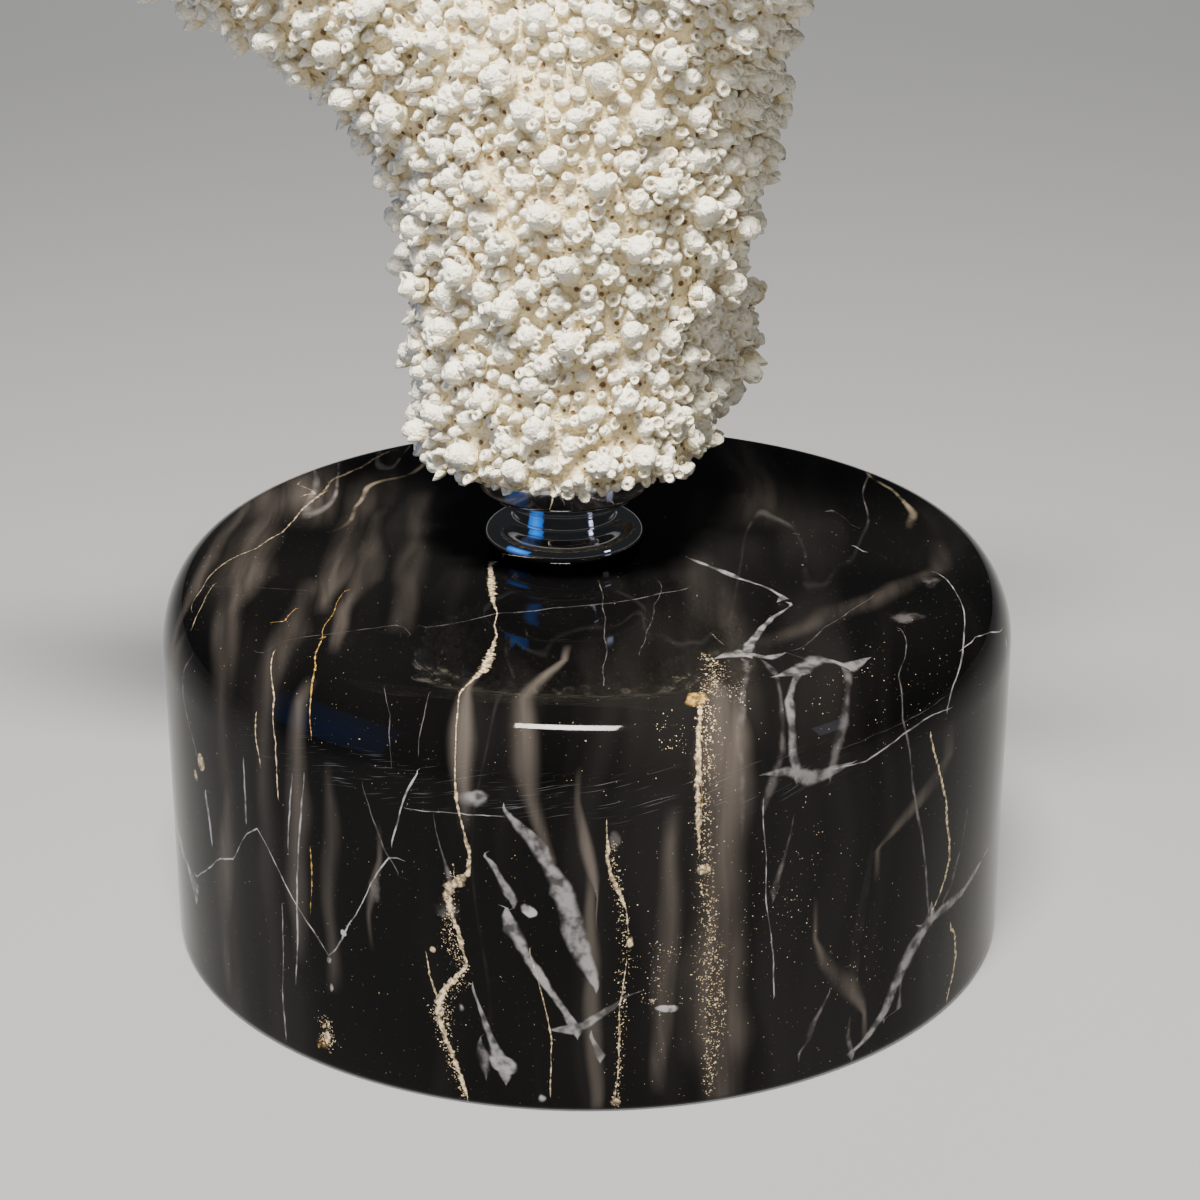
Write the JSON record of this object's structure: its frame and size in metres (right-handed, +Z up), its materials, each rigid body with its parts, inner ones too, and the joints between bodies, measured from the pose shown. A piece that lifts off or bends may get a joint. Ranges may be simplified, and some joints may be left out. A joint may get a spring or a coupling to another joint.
{
  "type": "mounted coral skeleton",
  "caption": "White branching coral skeleton crowded with small tubular cups, held by a polished metal neck on a round polished black marble base.",
  "frame": {"origin": "centre of the base's flat underside", "axes": "+Z up through the base, -Y towards the viewer of the picture, +X to that viewer's right"},
  "size_m": [0.1325, 0.1, 0.1841],
  "materials": {
    "marble": "polished black with pale veins",
    "neck_metal": "mirror polished",
    "rod_steel": "plain",
    "coral": "matt, porous, cream white"
  },
  "bodies": {
    "root": {"marble_base": "marble", "neck": "neck_metal", "mounting_rod": "rod_steel", "coral_stem": "coral", "coral_left_branch": "coral", "coral_left_tip": "coral", "coral_left_twig": "coral", "coral_centre_branch": "coral", "coral_right_branch": "coral", "coral_front_branch": "coral"}
  },
  "joints": []
}
